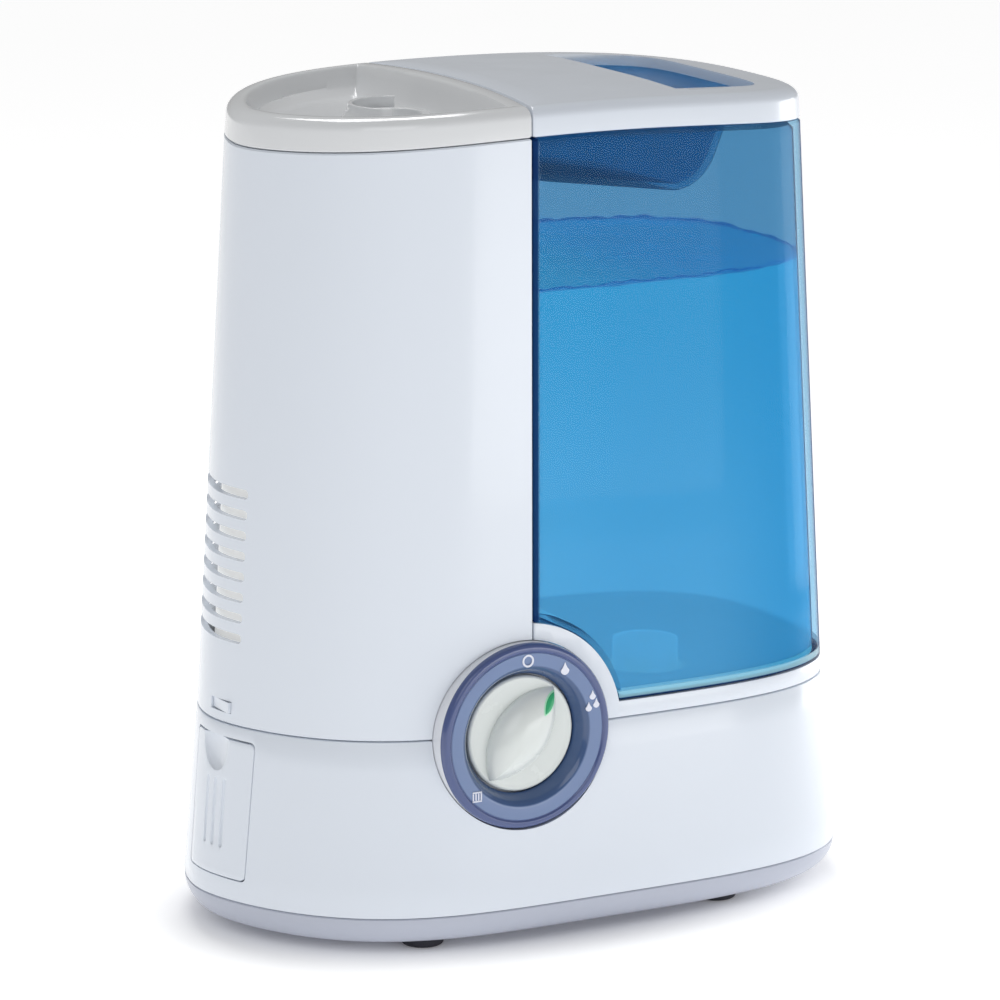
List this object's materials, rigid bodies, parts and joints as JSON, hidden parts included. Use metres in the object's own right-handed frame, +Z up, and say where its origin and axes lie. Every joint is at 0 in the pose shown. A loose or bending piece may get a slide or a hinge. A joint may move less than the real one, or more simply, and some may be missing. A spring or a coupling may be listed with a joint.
{
  "type": "warm mist humidifier",
  "caption": "Warm-mist humidifier: oval tapered body with a white steam tower, clear blue lift-off water tank, rotary mist dial and scent-pad drawer.",
  "frame": {"origin": "on the floor, under the middle of the body", "axes": "+Z up; -Y is the front, with the dial; +X is the tank end; -X is the tower end"},
  "size_m": [0.2614, 0.1596, 0.3167],
  "materials": {
    "white_shell": "smooth gloss white, slightly bluish",
    "bowl_white": "gloss warm white",
    "lavender_pan": "satin lavender grey",
    "tank_blue": "clear blue, polished",
    "dial_violet": "gloss blue-violet",
    "knob_white": "satin off-white",
    "pointer_green": "green",
    "cap_blue": "dark blue",
    "foot_rubber": "matt black",
    "silicone": "translucent silicone",
    "steel": "bright",
    "aluminium": "cast and machined",
    "black_plastic": "moulded black",
    "pad_felt": "pressed cellulose",
    "lead_red": "sleeve",
    "lead_white": "glass-fibre sleeve",
    "inner_white": "moulded, unpolished"
  },
  "bodies": {
    "base": {"base_housing": "white_shell", "base_pan": "lavender_pan", "foot_1": "foot_rubber", "foot_2": "foot_rubber", "foot_3": "foot_rubber", "foot_4": "foot_rubber", "pan_screw_1": "steel", "pan_screw_2": "steel", "pan_screw_3": "steel", "pan_screw_4": "steel", "cord_gland": "foot_rubber", "tank_tray": "white_shell", "reservoir_basin": "inner_white", "feed_hose": "silicone", "boiler_cup": "steel", "heater_plate": "aluminium", "chamber_seal": "silicone", "heating_element": "aluminium", "heater_clamp": "steel", "thermostat": "black_plastic", "switch_housing": "white_shell", "rotary_switch": "black_plastic", "thermal_fuse": "lead_white", "terminal_block": "lead_white", "switch_lead": "lead_red", "heater_lead": "lead_white", "fuse_lead": "lead_white", "dial_ring": "dial_violet", "drawer_guide": "inner_white"},
    "dial": {"dial_knob": "knob_white", "knob_pointer": "pointer_green", "knob_shaft": "steel"},
    "scent_drawer": {"scent_door": "white_shell", "pad_tray": "inner_white", "scent_pad": "pad_felt"},
    "tower": {"tower_shell": "white_shell", "tower_top": "bowl_white", "steam_funnel": "inner_white", "steam_duct": "inner_white"},
    "medicine_cup": {"medicine_cup": "bowl_white"},
    "tower_latch": {"tower_latch": "white_shell"},
    "tank": {"tank_shell": "tank_blue", "tank_top": "white_shell"},
    "tank_cap": {"tank_cap": "cap_blue", "cap_seal": "silicone", "valve_cage": "cap_blue", "valve_spring": "steel"},
    "valve": {"valve_plunger": "inner_white", "plunger_seal": "silicone"}
  },
  "joints": [
    {"name": "dial_turn", "type": "hinge", "parent": "base", "child": "dial", "pos_m": [-0.0318, -0.0712, 0.0812], "axis": [0, 1, 0], "range_deg": [-36, 34]},
    {"name": "drawer_slide", "type": "slide", "parent": "base", "child": "scent_drawer", "axis": [-1, 0, 0], "range_m": [0, 0.025]},
    {"name": "tower_lift", "type": "slide", "parent": "base", "child": "tower", "axis": [0, 0, 1], "range_m": [0, 0.1]},
    {"name": "cup_lift", "type": "slide", "parent": "tower", "child": "medicine_cup", "axis": [0, 0, 1], "range_m": [0, 0.03]},
    {"name": "latch_push", "type": "slide", "parent": "tower", "child": "tower_latch", "axis": [1, 0, 0], "range_m": [0, 0.0015], "stiffness_N_per_m": 500, "springref_m": -0.001},
    {"name": "tank_lift", "type": "slide", "parent": "base", "child": "tank", "axis": [0, 0, 1], "range_m": [0, 0.1]},
    {"name": "cap_turn", "type": "hinge", "parent": "tank", "child": "tank_cap", "pos_m": [0.042, -0.036, 0.0715], "axis": [0, 0, -1], "range_deg": [0, 360]},
    {"name": "valve_push", "type": "slide", "parent": "tank_cap", "child": "valve", "axis": [0, 0, 1], "range_m": [0, 0.003], "stiffness_N_per_m": 200, "springref_m": -0.003, "deforming": ["valve_spring"]}
  ]
}
